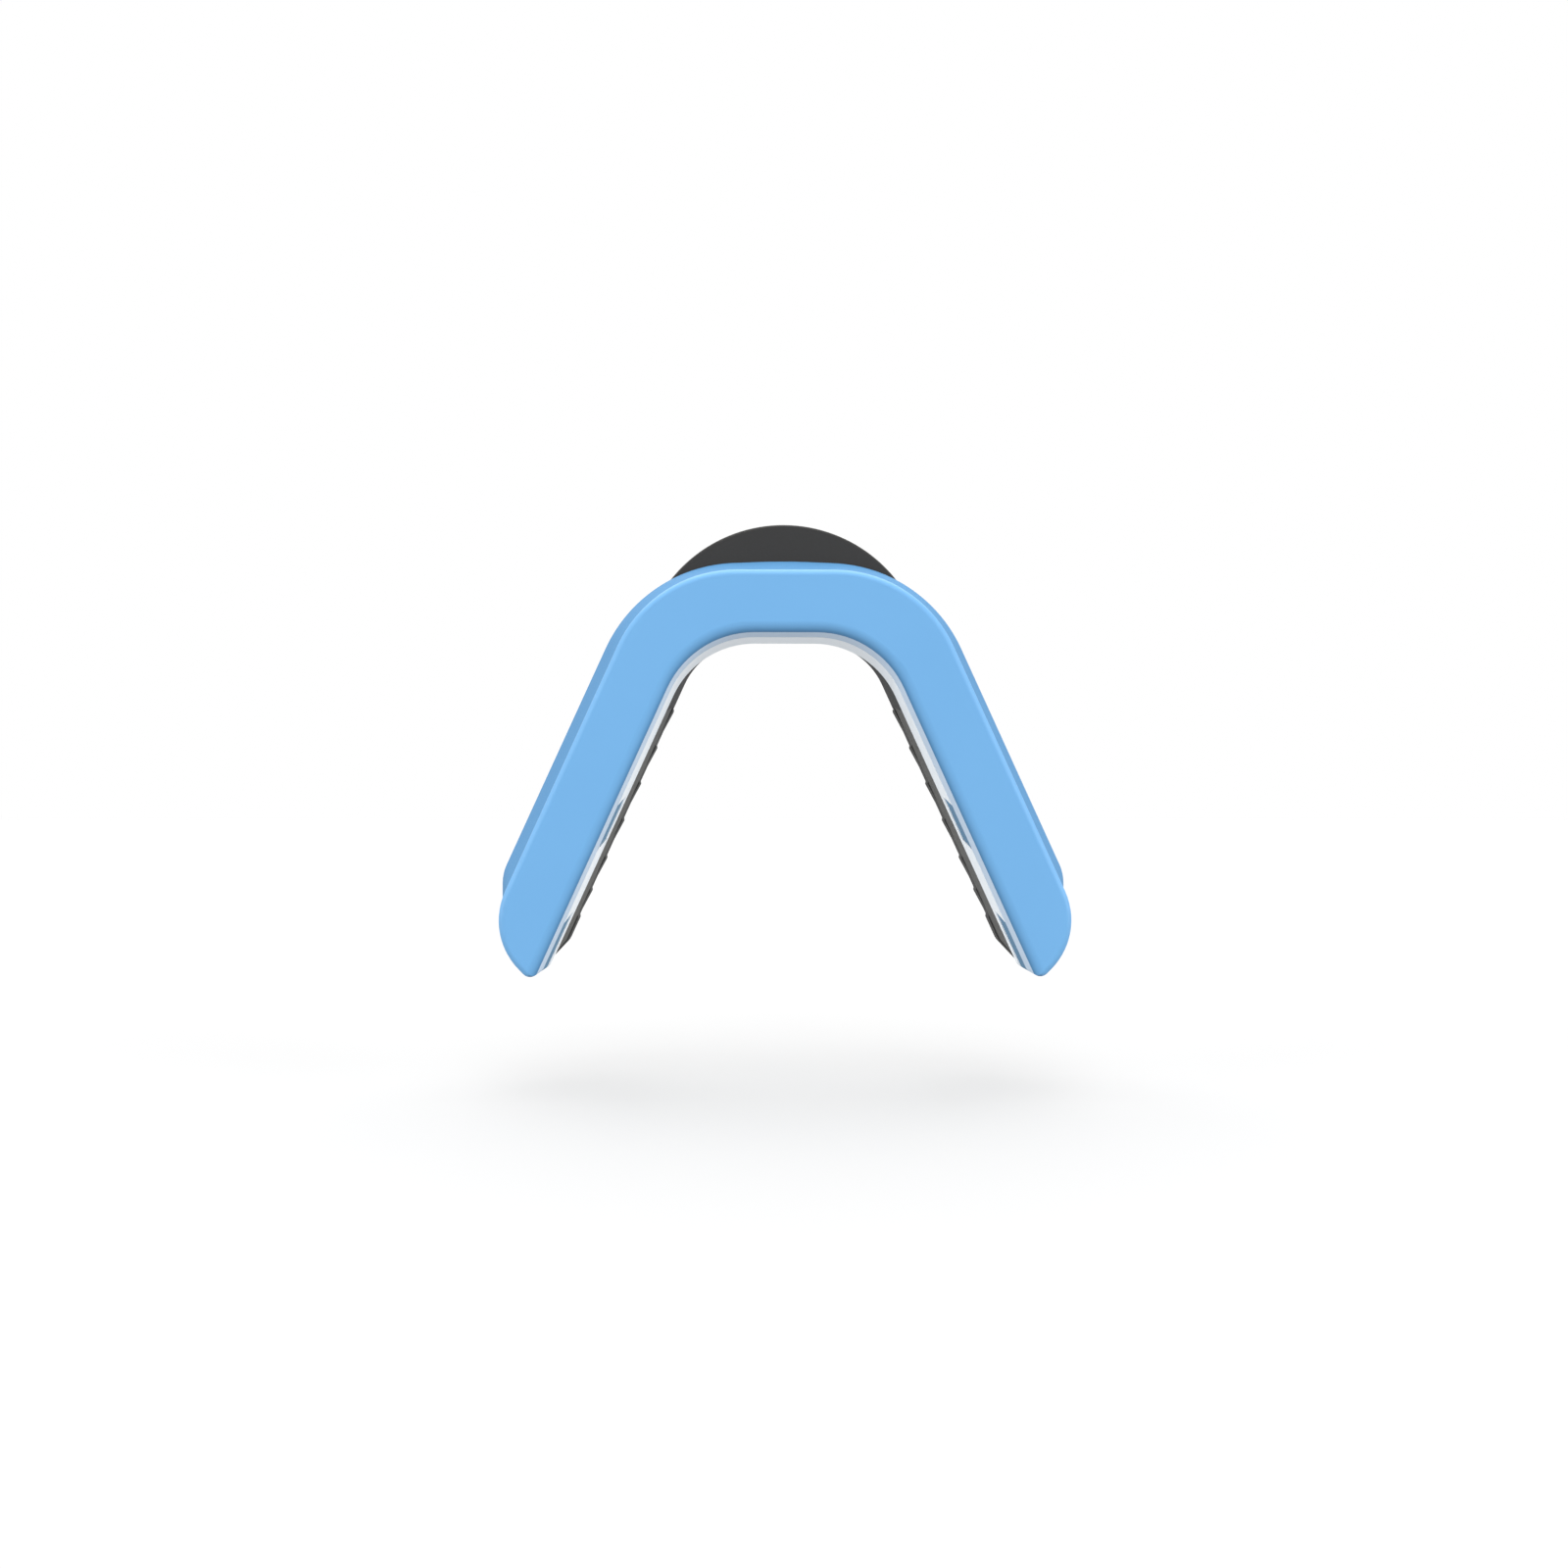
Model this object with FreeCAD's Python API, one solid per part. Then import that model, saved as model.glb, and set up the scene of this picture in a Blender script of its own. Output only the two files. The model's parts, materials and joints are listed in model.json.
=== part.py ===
import FreeCAD, Part
import math
import os

# Arch-shaped impression tray, standing on its two feet: X to the right, Y from the floor
# plate's front face to the rims, Z up. The origin is midway between the feet, on the ground.
# "offset" is the distance from the arch's inner edge into the wall, square to that edge, and
# "depth" is the distance behind the front face. All sizes are millimetres.

# Arch
leg_slope = 0.453           # sideways run of a leg for each millimetre of height
inner_foot_x = 31.3         # inner edge of a leg, carried down to the ground
inner_top_z = 43.3          # underside of the arch
inner_corner_r = 12.0
outer_corner_r = 16.5
total_depth = 22.0

# Floor plate
plate_width = 8.0           # offset of the plate's outer edge
plate_depth = 5.4
foot_corner_r = 8.8         # between the outer edge and the slanted toe
outer_edge_r = 0.8          # rounding of the plate's front face, outside and inside the arch
inner_edge_r = 1.4
rear_edge_r = 0.2           # small break round the back, which shows as a seam
toe_ground_x = 32.54        # where the slanted toe, carried down, meets the ground
toe_tilt = math.radians(45)      # of the slanted toe, from upright
trim_width = 0.8
trim_start = 0.9            # depth where the pale trim begins
trim_wrap = 1.8             # offset that the trim reaches as it wraps under the toe
groove_depth = 1.2          # of the grooves that take the two flanges' tongues
outer_tongue = (6.7, 7.4, 9.0)   # offsets of a tongue's faces, and height of its lower end
inner_tongue = (1.7, 2.5, 3.0)
weld = 0.2                  # how far joined solids run into each other

# Inner wall: blue flange, white liner with four windows
seam = 0.15                 # reveal between plate and liner
liner_thickness = 1.2
inner_wall = 3.0            # offset of the inner wall's trough side
wall_depth = 12.6           # where the flange and the liner end
window_depth = 10.4
window_rise = 1.2           # how much the slanted ends climb towards the rims
window_spans = [(15.9, 21.6), (-2.0, 6.5)]
pad_relief = 0.12           # how far the blue pads stay below the liner's face
pad_gap = 0.08

# Outer flange, flared
flange_depth = 18.5
flange_flare = 3.8          # how far the rim stands outside the plate's edge
flange_thickness = 1.6
flange_bend_z = (9.6, 12.5) # where the wall turns upright, at the plate and at the rim
flange_bend_r = 6.0
flange_foot_z = 6.5
flange_toe_r = 0.75
flange_crown = (0.02, 0.45) # rise towards the middle of the arch, at the plate and at the rim
crown_r = 100.0
rim_edge_r = 0.5

# Rear frame with its soft strips
frame_gap = 0.1             # between the frame and the wall that it seats on
frame_toe_r = 0.5
frame_corner_r = 10.0
frame_edge_r = 0.3
strip_top_z = 35.2          # above it, the frame itself comes out to the inner edge
strip_end_slant = 1.0       # the strips' top ends climb this much towards the back
strip_gap = 0.1             # between rim strip and nub strip
rim_end_depth = 19.0
nub_lips = [35.1, 30.1, 25.1, 20.0, 14.8, 10.3, 6.6]    # heights; the last ones draw closer
nub_length = 3.0            # along Z, from the lip down to the bed
nub_proud = 0.2
nub_lip_drop = 0.3
nub_lip_r = 0.25
nub_bed_r = 1.0             # where a lip's slope meets the bed
strip_foot_height = 3.2     # where a strip's lower end starts to slant outwards
strip_foot_r = 2.5

# Finger tab
tab_r = 19.8
tab_centre_z = 40.7
tab_inner_offset = 7.7
tab_inner_r = 14.0
tab_horn_z = 46.6
tab_edge_r = 0.3
tab_pin_x = 6.0
tab_pin_z = 52.5
tab_pin_r = 0.7
tab_pin_depths = (13.4, 21.0)
boss_r = 1.35
socket_start = 12.4

# Pins and pegs
pin_r = 0.5
pin_clearance = 0.05
pin_reach = 3.5             # to each side of the joint
leg_pin_heights = [14.0, 23.5]
arch_pin_x = 4.0
peg_r = 0.45
peg_span = (0.75, 2.1)      # offsets of a peg's two ends
rim_peg_depth = 15.4
nub_peg_depth = 20.6
liner_peg_depth = 11.1
strip_peg_heights = [6.0, 17.5, 29.0]
liner_peg_heights = [11.5, 27.0]

sides = [("left", -1), ("right", 1)]
leg_tilt = math.atan(leg_slope)
toe_vertex_z = (inner_foot_x - toe_ground_x) / (leg_slope + math.tan(toe_tilt))
toe_half = (leg_tilt + toe_tilt) / 2
# the toe's rounding just touches the ground
toe_r = -toe_vertex_z / (math.cos(toe_tilt - toe_half) / math.sin(toe_half) - 1)
far = 100.0                 # longer than anything here


def point(x, depth, z):
    return FreeCAD.Vector(x, depth - total_depth / 2, z)


def leg_x(offset, z):
    return inner_foot_x + offset / math.cos(leg_tilt) - leg_slope * z


def leg_point(side, offset, depth, z):
    """A point at an offset from the leg's inner edge, square to it from height z."""
    x = leg_x(0, z) + offset * math.cos(leg_tilt)
    return point(side * x, depth, z + offset * math.sin(leg_tilt))


def leg_normal(side):
    return FreeCAD.Vector(side * math.cos(leg_tilt), 0, math.sin(leg_tilt))


def rounded_wire(corners, depth):
    """A closed outline at one depth; each corner is (x, z, radius)."""
    ends = []
    arcs = []
    for index, (x, z, radius) in enumerate(corners):
        here = point(x, depth, z)
        before = corners[index - 1]
        after = corners[(index + 1) % len(corners)]
        back = (point(before[0], depth, before[1]) - here).normalize()
        ahead = (point(after[0], depth, after[1]) - here).normalize()
        if radius == 0:
            ends.append((here, here))
            arcs.append(None)
            continue
        half = back.getAngle(ahead) / 2
        reach = radius / math.tan(half)
        middle = (back + ahead).normalize() * (radius / math.sin(half) - radius)
        ends.append((here + back * reach, here + ahead * reach))
        arcs.append(Part.Arc(ends[-1][0], here + middle, ends[-1][1]).toShape())
    edges = []
    for index, arc in enumerate(arcs):
        if arc:
            edges.append(arc)
        edges.append(Part.makeLine(ends[index][1], ends[(index + 1) % len(ends)][0]))
    return Part.Wire(edges)


def prism(corners, start, end):
    face = Part.Face(rounded_wire(corners, start))
    return face.extrude(FreeCAD.Vector(0, end - start, 0))


def arch_corners(inner, outer, foot, inner_r=None, outer_r=None, rise=0):
    """The band between two offsets; foot lists the right foot's corners, outside first."""
    if inner_r is None:
        inner_r = inner_corner_r + inner
    if outer_r is None:
        outer_r = inner_corner_r + outer
    outer_top = inner_top_z + outer
    inner_top = inner_top_z + inner
    right = [(leg_x(outer, outer_top - rise), outer_top - rise, outer_r)]
    right += foot
    right += [(leg_x(inner, inner_top), inner_top, inner_r)]
    left = [(-x, z, radius) for x, z, radius in reversed(right)]
    middle = [(0, outer_top + rise, crown_r)] if rise else []
    return middle + right + left


def level_foot(inner, outer, z, radius):
    return [(leg_x(outer, z), z, radius), (leg_x(inner, z), z, radius)]


def plate_corners():
    corner_z = (leg_x(plate_width, 0) - toe_ground_x) / (leg_slope + math.tan(toe_tilt))
    toe = [(leg_x(plate_width, corner_z), corner_z, foot_corner_r),
           (leg_x(0, toe_vertex_z), toe_vertex_z, toe_r)]
    return arch_corners(0, plate_width, toe, outer_r=outer_corner_r)


def wall_band(inner, outer, start, end):
    """A prism between two offsets that ends inside the floor plate's foot outline."""
    band = prism(arch_corners(inner, outer, level_foot(inner, outer, -5, 0)), start, end)
    return band.common(prism(plate_corners(), start, end))


def cylinder(start, direction, length, radius):
    return Part.makeCylinder(radius, length, start, direction)


def side_block(side, outline):
    """A block right across one leg, from an outline of (depth, z) points."""
    points = [point(0, depth, z) for depth, z in outline]
    face = Part.Face(Part.makePolygon(points + points[:1]))
    return face.extrude(FreeCAD.Vector(side * far, 0, 0))


def tongue_band(tongue, gap):
    """The tongue under a flange, or with a gap its groove in the floor plate."""
    inner, outer, foot_z = tongue
    low = inner - gap
    high = outer + gap
    foot = level_foot(low, high, foot_z - gap, 0)
    return prism(arch_corners(low, high, foot), plate_depth - groove_depth - gap, plate_depth)


def edges_at(shape, depth):
    return [edge for edge in shape.Edges
            if all(abs(v.Y + total_depth / 2 - depth) < 0.01 for v in edge.Vertexes)]


def rounded_plate():
    """The whole plate, rounded more along its inner edge than round the outside."""
    plate = prism(plate_corners(), 0, plate_depth)
    plate = plate.makeFillet(rear_edge_r, edges_at(plate, plate_depth))
    plate = plate.makeFillet(outer_edge_r, edges_at(plate, 0))
    wide = prism(arch_corners(0, far / 2, level_foot(0, far / 2, -5, 0), outer_r=0), 0, plate_depth)
    inner_foot = leg_x(0, -5)
    inside = [edge for edge in edges_at(wide, 0)
              if all(abs(v.X) <= inner_foot + 0.01 for v in edge.Vertexes)
              and max(v.Z for v in edge.Vertexes) > -4]
    return plate.common(wide.makeFillet(inner_edge_r, inside))


def trim_ring(plate):
    """The edging: a skin of the plate along its inner edge and round under the toes."""
    face = Part.Face(rounded_wire(plate_corners(), 0))
    core = face.makeOffset2D(-trim_width).extrude(FreeCAD.Vector(0, plate_depth, 0))
    foot = level_foot(-2, trim_wrap, -5, 0)
    corners = arch_corners(-2, trim_wrap, foot, inner_r=inner_corner_r - 2)
    return plate.cut(core).common(prism(corners, trim_start, plate_depth))


def floor_plate(plate):
    plate = plate.cut(trim_ring(plate))
    for tongue in (outer_tongue, inner_tongue):
        plate = plate.cut(tongue_band(tongue, pin_clearance))
    return plate


def flare(inner, outer, grow, start, end):
    """A band whose offsets both grow from the start depth to the end depth."""
    wires = []
    for depth, extra, end_index in ((start, 0, 0), (end, grow, 1)):
        bend_z = flange_bend_z[end_index]
        low = inner + extra
        high = outer + extra
        outside = leg_x(plate_width + extra, bend_z)
        inside = outside - outer + inner
        inner_bend_z = (leg_x(low, 0) - inside) / leg_slope
        foot = [(outside, bend_z, flange_bend_r), (outside, flange_foot_z, flange_toe_r),
                (inside, flange_foot_z, flange_toe_r), (inside, inner_bend_z, flange_bend_r)]
        corners = arch_corners(low, high, foot, inner_r=outer_corner_r - outer + low,
                               outer_r=outer_corner_r + extra, rise=flange_crown[end_index])
        wires.append(rounded_wire(corners, depth))
    return Part.makeLoft(wires, True, True)


def outer_flange():
    inner = plate_width - flange_thickness
    wall = flare(inner, plate_width, flange_flare, plate_depth, flange_depth)
    wall = wall.makeFillet(rim_edge_r, edges_at(wall, flange_depth))
    solid_side = flare(weld, plate_width, flange_flare, plate_depth, flange_depth)
    for side in (-1, 1):
        start = point(side * tab_pin_x, socket_start, tab_pin_z)
        boss = cylinder(start, FreeCAD.Vector(0, 1, 0), flange_depth - socket_start, boss_r)
        wall = wall.fuse(boss.common(solid_side))
    wall = wall.fuse(tongue_band(outer_tongue, 0))
    for side in (-1, 1):
        start = point(side * tab_pin_x, tab_pin_depths[0] - pin_clearance, tab_pin_z)
        wall = wall.cut(cylinder(start, FreeCAD.Vector(0, 1, 0), far, tab_pin_r + pin_clearance))
    return wall


def window_outline(span, gap):
    low, high = span
    return [(plate_depth - 1, low + gap - window_rise * 0.25),
            (plate_depth - 1, high - gap - window_rise * 0.25),
            (window_depth - gap, high - gap + window_rise),
            (window_depth - gap, low + gap + window_rise)]


def window_liner():
    liner = wall_band(0, liner_thickness, plate_depth + seam, wall_depth)
    for side in (-1, 1):
        for span in window_spans:
            liner = liner.cut(side_block(side, window_outline(span, 0)))
        for z in liner_peg_heights:
            liner = liner.cut(peg(side, z, liner_peg_depth))
    return liner


def inner_flange():
    flange = wall_band(liner_thickness, inner_wall, plate_depth, wall_depth)
    pads = wall_band(pad_relief, liner_thickness + weld, plate_depth + seam, window_depth)
    for side in (-1, 1):
        for span in window_spans:
            flange = flange.fuse(pads.common(side_block(side, window_outline(span, pad_gap))))
        for z in liner_peg_heights:
            flange = flange.cut(peg(side, z, liner_peg_depth))
    flange = flange.fuse(tongue_band(inner_tongue, 0))
    for pin in frame_pin_list(pin_r + pin_clearance):
        flange = flange.cut(pin)
    return flange


def peg(side, z, depth):
    start = leg_point(side, peg_span[0], depth, z)
    return cylinder(start, leg_normal(side), peg_span[1] - peg_span[0], peg_r)


def pegs(heights, depths):
    shapes = [peg(side, z, depth) for side in (-1, 1) for depth in depths for z in heights]
    return Part.makeCompound(shapes)


def frame_pin_list(radius):
    middle = (liner_thickness + inner_wall) / 2
    start_depth = wall_depth - pin_reach
    length = 2 * pin_reach + frame_gap
    spots = [leg_point(side, middle, start_depth, z) for side in (-1, 1) for z in leg_pin_heights]
    spots += [point(side * arch_pin_x, start_depth, inner_top_z + middle) for side in (-1, 1)]
    return [cylinder(spot, FreeCAD.Vector(0, 1, 0), length, radius) for spot in spots]


def strip_pocket(side):
    """The room for a leg's strips, with their top ends slanted."""
    start = wall_depth + frame_gap
    low_top = strip_top_z - strip_end_slant
    block = side_block(side, [(start, -5), (start, low_top), (rim_end_depth, strip_top_z),
                              (total_depth, strip_top_z), (total_depth, -5)])
    foot = level_foot(-2, liner_thickness, -5, 0)
    return block.common(prism(arch_corners(-2, liner_thickness, foot), start, total_depth))


def rear_frame():
    start = wall_depth + frame_gap
    foot = level_foot(0, inner_wall, 0, frame_toe_r)
    vertex_z = inner_top_z + liner_thickness
    corners = arch_corners(0, inner_wall, foot)
    half = len(corners) // 2
    corners[half - 1] = (leg_x(0, vertex_z), vertex_z, frame_corner_r)
    corners[half] = (-leg_x(0, vertex_z), vertex_z, frame_corner_r)
    frame = prism(corners, start, total_depth)
    frame = frame.makeFillet(frame_edge_r, edges_at(frame, total_depth))
    for side in (-1, 1):
        frame = frame.cut(strip_pocket(side))
    frame = frame.cut(Part.makeCompound(frame_pin_list(pin_r)))
    return frame.cut(pegs(strip_peg_heights, (rim_peg_depth, nub_peg_depth)))


def leg_corner(offset, height, radius):
    """A corner on the right leg, square to its inner edge from a height on that edge."""
    spot = leg_point(1, offset, 0, height)
    return (spot.x, spot.z, radius)


def strip_foot(proud):
    """A strip's lower end slants outwards, to reach the ground at its back."""
    back = liner_thickness * math.sin(leg_tilt)
    return [leg_corner(liner_thickness, -back, 0),
            leg_corner(-proud, strip_foot_height, strip_foot_r)]


def leg_prism(side, corners, start, end):
    return prism([(side * x, z, radius) for x, z, radius in corners], start, end)


def rim_strip(side):
    start = wall_depth + frame_gap
    corners = [leg_corner(liner_thickness, strip_top_z, 0)] + strip_foot(0)
    corners += [leg_corner(0, strip_top_z + 1, 0)]
    strip = leg_prism(side, corners, start, rim_end_depth).common(strip_pocket(side))
    return strip.cut(pegs(strip_peg_heights, (rim_peg_depth,)))


def nub_strip(side):
    """A flush bed with lips that stand up sharply and fall away downwards."""
    start = rim_end_depth + strip_gap
    corners = [leg_corner(liner_thickness, strip_top_z - 1, 0)] + strip_foot(nub_proud)
    for lip in reversed(nub_lips):
        if lip != nub_lips[-1]:
            corners.append(leg_corner(0, lip - nub_length, nub_bed_r))
        corners.append(leg_corner(-nub_proud, lip - nub_lip_drop, nub_lip_r))
        if lip != nub_lips[0]:
            corners.append(leg_corner(0, lip, 0))
    corners.append(leg_corner(-nub_proud * 0.5, strip_top_z - 0.1, 0))
    strip = leg_prism(side, corners, start, total_depth)
    return strip.cut(pegs(strip_peg_heights, (nub_peg_depth,)))


def filled_arch(offset, radius):
    """The whole area inside an arch line, filled down to below the ground."""
    top = inner_top_z + offset
    right = [(leg_x(offset, top), top, radius), (leg_x(offset, -5), -5, 0)]
    return right + [(-x, z, r) for x, z, r in reversed(right)]


def finger_tab():
    start = flange_depth + frame_gap
    length = total_depth - start
    disc = cylinder(point(0, start, tab_centre_z), FreeCAD.Vector(0, 1, 0), length, tab_r)
    hollow = prism(filled_arch(tab_inner_offset, tab_inner_r), start, total_depth)
    tab = disc.cut(hollow)
    floor = Part.makeBox(far, far, far, FreeCAD.Vector(-far / 2, -far / 2, tab_horn_z - far))
    tab = tab.cut(floor)
    tab = tab.makeFillet(tab_edge_r, edges_at(tab, start) + edges_at(tab, total_depth))
    for side in (-1, 1):
        spot = point(side * tab_pin_x, start, tab_pin_z)
        tab = tab.cut(cylinder(spot, FreeCAD.Vector(0, 1, 0), tab_pin_depths[1] - start, tab_pin_r))
    return tab


def tab_pins():
    length = tab_pin_depths[1] - tab_pin_depths[0]
    spots = [point(side * tab_pin_x, tab_pin_depths[0], tab_pin_z) for side in (-1, 1)]
    return Part.makeCompound([cylinder(s, FreeCAD.Vector(0, 1, 0), length, tab_pin_r) for s in spots])


def save(name, shape):
    solids = shape.Solids
    volume = sum(solid.Volume for solid in solids)
    print(name, len(solids), "solids", round(volume, 1), "mm3", "ok" if shape.isValid() else "BAD")
    kept = solids[0] if len(solids) == 1 else Part.makeCompound(solids)
    kept.exportStep("parts/" + name + ".step")


os.makedirs("parts", exist_ok=True)
plate = rounded_plate()
save("floor_plate", floor_plate(plate))
save("inner_edge_trim", trim_ring(plate))
save("outer_flange", outer_flange())
save("inner_flange", inner_flange())
save("window_liner", window_liner())
save("liner_pegs", pegs(liner_peg_heights, (liner_peg_depth,)))
save("rear_frame", rear_frame())
for name, side in sides:
    save(name + "_rim_strip", rim_strip(side))
    save(name + "_nub_strip", nub_strip(side))
save("strip_pegs", pegs(strip_peg_heights, (rim_peg_depth, nub_peg_depth)))
save("frame_pins", Part.makeCompound(frame_pin_list(pin_r)))
save("finger_tab", finger_tab())
save("tab_pins", tab_pins())
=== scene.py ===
import bpy
import bmesh
import json
import math
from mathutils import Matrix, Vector


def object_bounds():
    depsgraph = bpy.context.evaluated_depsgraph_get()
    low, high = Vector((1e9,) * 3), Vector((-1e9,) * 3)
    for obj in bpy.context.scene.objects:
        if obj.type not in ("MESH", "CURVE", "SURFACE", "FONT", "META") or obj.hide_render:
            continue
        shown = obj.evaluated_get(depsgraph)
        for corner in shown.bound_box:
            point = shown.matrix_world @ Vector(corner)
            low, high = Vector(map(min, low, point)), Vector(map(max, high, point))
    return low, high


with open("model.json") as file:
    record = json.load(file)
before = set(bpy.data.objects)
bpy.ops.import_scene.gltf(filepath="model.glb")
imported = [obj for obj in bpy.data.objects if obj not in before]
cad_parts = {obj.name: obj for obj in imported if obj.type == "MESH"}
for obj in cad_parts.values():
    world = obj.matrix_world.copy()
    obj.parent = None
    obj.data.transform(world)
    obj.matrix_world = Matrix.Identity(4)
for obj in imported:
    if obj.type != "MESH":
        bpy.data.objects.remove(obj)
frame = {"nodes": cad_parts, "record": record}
cadLow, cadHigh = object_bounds()
print("frame loaded:", len(frame["nodes"]), "nodes")

mm = 0.001
white = (1, 1, 1, 1)
mixAmount, mixFrom, mixTo, mixResult = 0, 6, 7, 2  # a colour mix node's inputs and output


def linearColour(code):
    # sRGB hex to linear RGBA
    values = [int(code[i:i + 2], 16) / 255 for i in (1, 3, 5)]
    linear = [v / 12.92 if v <= 0.04045 else ((v + 0.055) / 1.055) ** 2.4 for v in values]
    return (*linear, 1.0)


def addNode(tree, kind, settings=None, sockets=None):
    # one node: settings are its properties, sockets are values or the outputs that feed them
    node = tree.nodes.new(kind)
    for key, value in (settings or {}).items():
        setattr(node, key, value)
    for key, value in (sockets or {}).items():
        if isinstance(value, bpy.types.NodeSocket):
            tree.links.new(value, node.inputs[key])
        else:
            node.inputs[key].default_value = value
    return node


def clearedTree(owner):
    # the node tree of a material or world, emptied
    owner.use_nodes = True
    owner.node_tree.nodes.clear()
    return owner.node_tree


# how far the painted shade along the plate's inner edge reaches: from none at the first value to
# full at the second
paintedShadeReach = {"normalZ": (-0.02, -0.12),  # turned down, towards the space between the legs
             "normalY": (-0.99, -0.3),  # turned away from the flat front face
             "outward": (6 * mm, 1 * mm)}  # x times the normal's x: large on the toes' outer slant


def paintedShadeMask(tree, place):
    # where the painted shade goes: 1 on the arch's inner edge and its rounding, 0 on the flat
    # faces and the outer edge
    facing = addNode(tree, "ShaderNodeSeparateXYZ", sockets={
        0: addNode(tree, "ShaderNodeNewGeometry").outputs["Normal"]}).outputs
    spot = addNode(tree, "ShaderNodeSeparateXYZ", sockets={0: place}).outputs
    outward = addNode(tree, "ShaderNodeMath", {"operation": "MULTIPLY"}, {
        0: spot["X"], 1: facing["X"]})
    mask = 1.0
    for key, value, ease in (("normalZ", facing["Z"], "LINEAR"),
                             ("normalY", facing["Y"], "SMOOTHSTEP"),
                             ("outward", outward.outputs[0], "LINEAR")):
        start, full = paintedShadeReach[key]
        reach = addNode(tree, "ShaderNodeMapRange", {"interpolation_type": ease}, {
            "Value": value, "From Min": start, "From Max": full})
        mask = addNode(tree, "ShaderNodeMath", {"operation": "MULTIPLY"}, {
            0: mask, 1: reach.outputs["Result"]}).outputs[0]
    return mask


mottleDetail, grainDetail = 3.0, 2.0
grainLow, grainHigh = 0.3, 0.7  # where most of the grain noise's values lie


def mouldedSurface(name, look):
    # injection-moulded polymer: even colour with a faint flow mottle, darkened along the inner
    # edge as painted shade where the look asks for it, and the spark grain of the tool as bump,
    # drawn at 0.2 to 0.3 mm, coarser than the real grain, so that it shows
    material = bpy.data.materials.new(name)
    tree = clearedTree(material)
    place = addNode(tree, "ShaderNodeTexCoord").outputs["Object"]
    mottle = addNode(tree, "ShaderNodeTexNoise", sockets={
        "Vector": place, "Scale": 1 / (look["mottleMm"] * mm), "Detail": mottleDetail})
    grain = addNode(tree, "ShaderNodeTexNoise", sockets={
        "Vector": place, "Scale": 1 / (look["grainMm"] * mm), "Detail": grainDetail})
    base = addNode(tree, "ShaderNodeMix", {"data_type": "RGBA"}, {
        mixAmount: mottle.outputs["Fac"],
        mixFrom: linearColour(look["colour"]),
        mixTo: linearColour(look["flowColour"])}).outputs[mixResult]
    # painted shade: the colour darkens towards the plate's inner edge and stands in for the shade
    # on its rounding
    if "paintedShadeColour" in look:
        base = addNode(tree, "ShaderNodeMix", {"data_type": "RGBA"}, {
            mixAmount: paintedShadeMask(tree, place),
            mixFrom: base,
            mixTo: linearColour(look["paintedShadeColour"])}).outputs[mixResult]
    smooth, rough = look["roughness"]
    gloss = addNode(tree, "ShaderNodeMapRange", sockets={
        "Value": grain.outputs["Fac"], "From Min": grainLow, "From Max": grainHigh,
        "To Min": smooth, "To Max": rough})
    bump = addNode(tree, "ShaderNodeBump", sockets={
        "Height": grain.outputs["Fac"], "Strength": look["grainStrength"],
        "Distance": look["grainHeightMm"] * mm})
    shader = addNode(tree, "ShaderNodeBsdfPrincipled", sockets={
        "Base Color": base, "Roughness": gloss.outputs["Result"],
        "Normal": bump.outputs["Normal"], "IOR": look["ior"],
        "Specular IOR Level": look["specular"]})
    addNode(tree, "ShaderNodeOutputMaterial", sockets={"Surface": shader.outputs["BSDF"]})
    return material


# moulded polystyrene, sky blue: a soft even gloss, with painted shade darkening it along the inner
# edge
plateLook = {"colour": "#649DCD", "flowColour": "#68A1D0", "mottleMm": 14.0,
             "paintedShadeColour": "#4278A4",
             "grainMm": 0.25, "grainStrength": 0.15, "grainHeightMm": 0.01,
             "roughness": (0.38, 0.46), "ior": 1.5, "specular": 0.35}
# the same polystyrene, its blue darkened as painted shade for the sloping side walls, with a
# duller, finely etched face: no clear highlight
flangeLook = {"colour": "#4E81AC", "flowColour": "#5285AF", "mottleMm": 14.0,
              "grainMm": 0.25, "grainStrength": 0.15, "grainHeightMm": 0.01,
              "roughness": (0.55, 0.65), "ior": 1.25, "specular": 0.2}
# the same again, darkened to slate blue as painted shade for the recess seen through the windows:
# dim and satin
backingLook = {"colour": "#43789C", "flowColour": "#487DA0", "mottleMm": 14.0,
               "grainMm": 0.25, "grainStrength": 0.15, "grainHeightMm": 0.01,
               "roughness": (0.45, 0.55), "ior": 1.4, "specular": 0.25}
# soft pale edging moulded onto the plate: satin, with wide faint highlights
trimLook = {"colour": "#BCCFE3", "flowColour": "#C2D4E7", "mottleMm": 8.0,
            "grainMm": 0.2, "grainStrength": 0.2, "grainHeightMm": 0.01,
            "roughness": (0.5, 0.6), "ior": 1.45, "specular": 0.3}
# white polypropylene with a trace of blue: clean and satin, nearly no texture
linerLook = {"colour": "#F2F9FF", "flowColour": "#F6FBFF", "mottleMm": 8.0,
             "grainMm": 0.2, "grainStrength": 0.2, "grainHeightMm": 0.01,
             "roughness": (0.42, 0.52), "ior": 1.49, "specular": 0.35}
# black nylon, its near-black partly painted shade for the shaded recess behind the liner: matt, so
# only broad light shows its shape
frameLook = {"colour": "#1D1E20", "flowColour": "#222325", "mottleMm": 10.0,
             "grainMm": 0.25, "grainStrength": 0.3, "grainHeightMm": 0.015,
             "roughness": (0.5, 0.62), "ior": 1.35, "specular": 0.25}
# grey elastomer strip: matt and speckled, rough to the eye
rimLook = {"colour": "#585856", "flowColour": "#636361", "mottleMm": 2.5,
           "grainMm": 0.3, "grainStrength": 0.8, "grainHeightMm": 0.03,
           "roughness": (0.62, 0.75), "ior": 1.42, "specular": 0.25}
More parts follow.
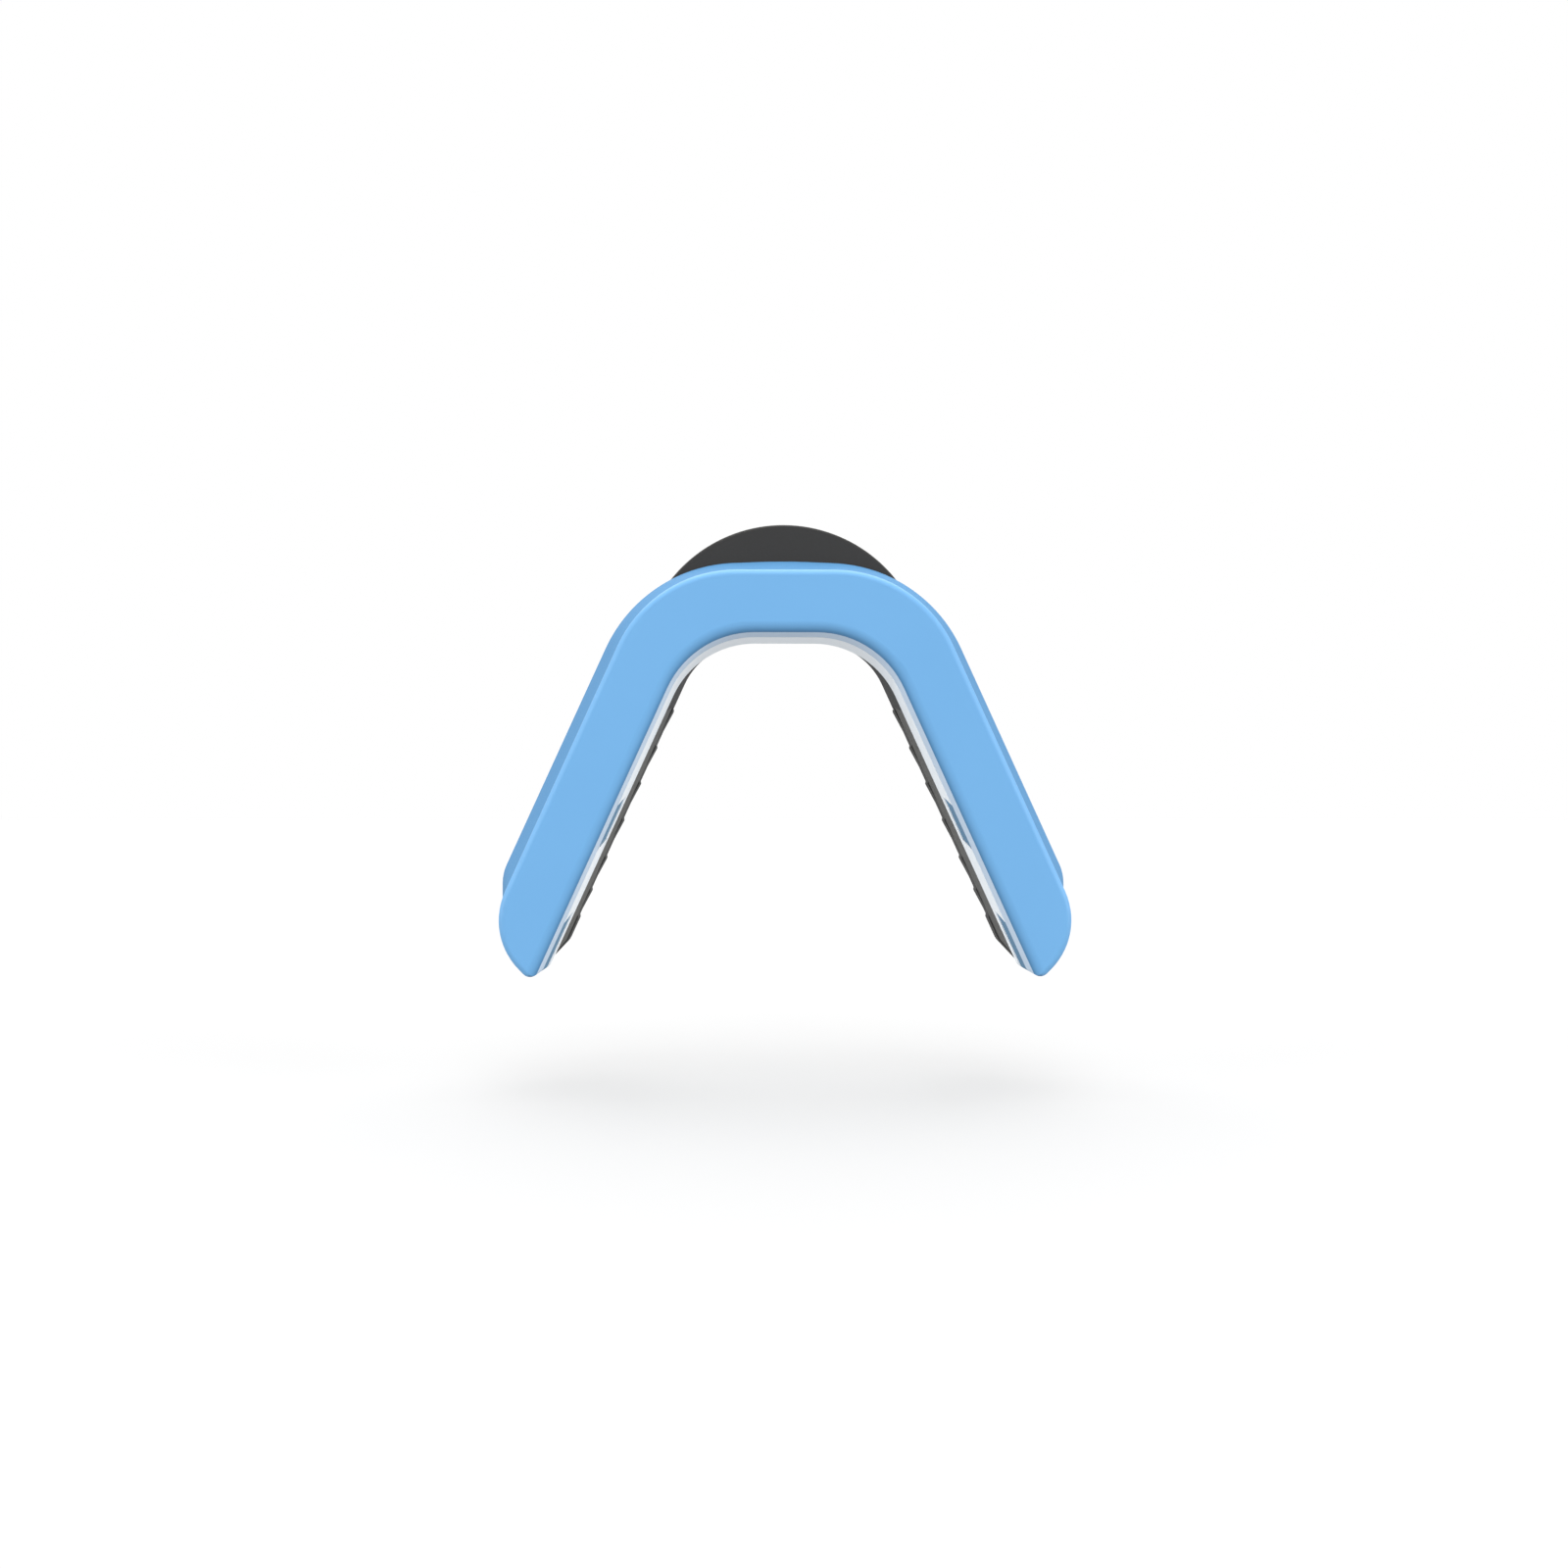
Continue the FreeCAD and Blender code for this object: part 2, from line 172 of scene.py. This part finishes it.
# the ribbed strips' darker elastomer, as matt and speckled
nubLook = {"colour": "#464645", "flowColour": "#4F4F4E", "mottleMm": 2.5,
           "grainMm": 0.3, "grainStrength": 0.8, "grainHeightMm": 0.03,
           "roughness": (0.65, 0.78), "ior": 1.42, "specular": 0.25}
# warm charcoal nylon: matt, with a fine grain
tabLook = {"colour": "#2D2B2A", "flowColour": "#31302E", "mottleMm": 12.0,
           "grainMm": 0.3, "grainStrength": 0.3, "grainHeightMm": 0.015,
           "roughness": (0.55, 0.65), "ior": 1.5, "specular": 0.25}


# turned stainless steel: bright, with fine rings round the pin from the lathe tool
pinLook = {"colour": "#C9C9CB", "markMm": 0.1, "markDetail": 2.0,
           "stretch": (0.1, 1.0, 0.1),  # short along the pin, long round it
           "roughness": (0.2, 0.4)}


def turnedSteel(name, look):
    material = bpy.data.materials.new(name)
    tree = clearedTree(material)
    place = addNode(tree, "ShaderNodeTexCoord").outputs["Object"]
    stretched = addNode(tree, "ShaderNodeMapping", sockets={
        "Vector": place, "Scale": look["stretch"]})
    marks = addNode(tree, "ShaderNodeTexNoise", sockets={
        "Vector": stretched.outputs["Vector"], "Scale": 1 / (look["markMm"] * mm),
        "Detail": look["markDetail"]})
    smooth, rough = look["roughness"]
    gloss = addNode(tree, "ShaderNodeMapRange", sockets={
        "Value": marks.outputs["Fac"], "To Min": smooth, "To Max": rough})
    shader = addNode(tree, "ShaderNodeBsdfPrincipled", sockets={
        "Base Color": linearColour(look["colour"]), "Metallic": 1.0,
        "Roughness": gloss.outputs["Result"]})
    addNode(tree, "ShaderNodeOutputMaterial", sockets={"Surface": shader.outputs["BSDF"]})
    return material


finishes = {
    "plate_blue": mouldedSurface("polystyreneSkyBlueMoulded", plateLook),
    # the flange's darker blue is painted shade on the same polystyrene
    "flange_blue": mouldedSurface("polystyreneBluePaintedSideShade", flangeLook),
    # the backing's slate blue is painted shade on the same polystyrene
    "backing_blue": mouldedSurface("polystyreneBluePaintedRecessShade", backingLook),
    "edge_trim_pale": mouldedSurface("elastomerPaleEdging", trimLook),
    "liner_white": mouldedSurface("polypropyleneWhiteMoulded", linerLook),
    # the frame's black is partly painted shade for the recess behind the liner
    "frame_black": mouldedSurface("nylonBlackWithPaintedShade", frameLook),
    "rim_grey": mouldedSurface("elastomerGreyRim", rimLook),
    "nub_rubber": mouldedSurface("elastomerDarkRibbed", nubLook),
    "tab_charcoal": mouldedSurface("nylonCharcoalMoulded", tabLook),
    "pin_steel": turnedSteel("stainlessTurnedPin", pinLook),
}

# each piece takes the finish of its material slot
for part in frame["record"]["subparts"]:
    node = frame["nodes"][part["node"]]
    material = finishes[part["material_slot"]]
    if not node.material_slots:
        node.data.materials.append(material)
    for slot in node.material_slots:
        slot.material = material
print("materials on")


# the floor lies well below the toes, so the tray hovers over its shadow
floorSettings = {"drop": 16 * mm, "size": 30.0,  # size in metres, out past anything in view
                 "albedo": "#A5A5A5",
                 "lift": 0.28}  # added brightness that only the camera sees


def makeFloor(settings):
    grid = bmesh.new()
    bmesh.ops.create_grid(grid, x_segments=1, y_segments=1, size=settings["size"])
    bmesh.ops.translate(grid, vec=(0, 0, -settings["drop"]), verts=grid.verts)
    mesh = bpy.data.meshes.new("paleFloor")
    grid.to_mesh(mesh)
    grid.free()
    floor = bpy.data.objects.new("paleFloor", mesh)
    bpy.context.collection.objects.link(floor)
    material = bpy.data.materials.new("paleBoard")
    tree = clearedTree(material)
    seen = addNode(tree, "ShaderNodeLightPath").outputs["Is Camera Ray"]
    board = addNode(tree, "ShaderNodeBsdfDiffuse", sockets={
        "Color": linearColour(settings["albedo"])})
    glow = addNode(tree, "ShaderNodeMath", {"operation": "MULTIPLY"}, {
        0: seen, 1: settings["lift"]})
    lift = addNode(tree, "ShaderNodeEmission", sockets={"Strength": glow.outputs[0]})
    lifted = addNode(tree, "ShaderNodeAddShader", sockets={
        0: board.outputs["BSDF"], 1: lift.outputs["Emission"]})
    addNode(tree, "ShaderNodeOutputMaterial", sockets={"Surface": lifted.outputs[0]})
    mesh.materials.append(material)


worldSettings = {"room": 0.88,  # light from all round
                 "backdrop": 1.0}  # white, as the camera, gloss and glass see it


def makeWorld(settings):
    world = bpy.data.worlds.new("studioWorld")
    bpy.context.scene.world = world
    tree = clearedTree(world)
    path = addNode(tree, "ShaderNodeLightPath").outputs
    glossy = addNode(tree, "ShaderNodeMath", {"operation": "MAXIMUM"}, {
        0: path["Is Camera Ray"], 1: path["Is Glossy Ray"]})
    seen = addNode(tree, "ShaderNodeMath", {"operation": "MAXIMUM"}, {
        0: glossy.outputs[0], 1: path["Is Transmission Ray"]})
    room = addNode(tree, "ShaderNodeBackground", sockets={
        "Color": white, "Strength": settings["room"]})
    backdrop = addNode(tree, "ShaderNodeBackground", sockets={
        "Color": white, "Strength": settings["backdrop"]})
    mix = addNode(tree, "ShaderNodeMixShader", sockets={
        0: seen.outputs[0], 1: room.outputs[0], 2: backdrop.outputs[0]})
    addNode(tree, "ShaderNodeOutputWorld", sockets={"Surface": mix.outputs[0]})


# broad even lights: strength, spread in degrees and the way each one shines
lampSettings = [
    {"name": "overheadLight", "energy": 2.3, "spread": 80, "towards": (0.05, -0.25, -1)},
    {"name": "frontTopLight", "energy": 0.8, "spread": 40, "towards": (0, 0.6, -0.8)},
    {"name": "rightFill", "energy": 1.5, "spread": 40, "towards": (-1, 0.5, -0.25)},
    {"name": "leftFill", "energy": 1.2, "spread": 40, "towards": (1, 0.5, -0.25)},
]


def makeLamp(settings):
    # a sun, because its light is the same all over the floor
    lamp = bpy.data.lights.new(settings["name"], "SUN")
    lamp.energy = settings["energy"]
    lamp.angle = math.radians(settings["spread"])
    holder = bpy.data.objects.new(settings["name"], lamp)
    bpy.context.collection.objects.link(holder)
    holder.rotation_euler = Vector(settings["towards"]).to_track_quat("-Z", "Y").to_euler()


makeFloor(floorSettings)
makeWorld(worldSettings)
for settings in lampSettings:
    makeLamp(settings)
print("stage ready")


# the eye, in front of the flat face: places in metres, angles in degrees, lens in millimetres
cameraSettings = {"x": -3.07 * mm, "z": 19.9 * mm, "distance": 189 * mm,
                  "turnRight": 0.857, "tiltUp": 1.3,
                  "focalLength": 34.6, "sensorWidth": 36, "nearClip": 10 * mm}


def makeCamera(settings):
    lens = bpy.data.cameras.new("trayCamera")
    lens.lens = settings["focalLength"]
    lens.sensor_width = settings["sensorWidth"]
    lens.clip_start = settings["nearClip"]
    camera = bpy.data.objects.new("trayCamera", lens)
    bpy.context.collection.objects.link(camera)
    camera.location = (settings["x"], cadLow.y - settings["distance"],
                       cadLow.z + settings["z"])
    camera.rotation_euler = (math.radians(90 + settings["tiltUp"]), 0,
                             math.radians(-settings["turnRight"]))
    bpy.context.scene.camera = camera


makeCamera(cameraSettings)
bpy.context.scene.view_settings.view_transform = "Standard"
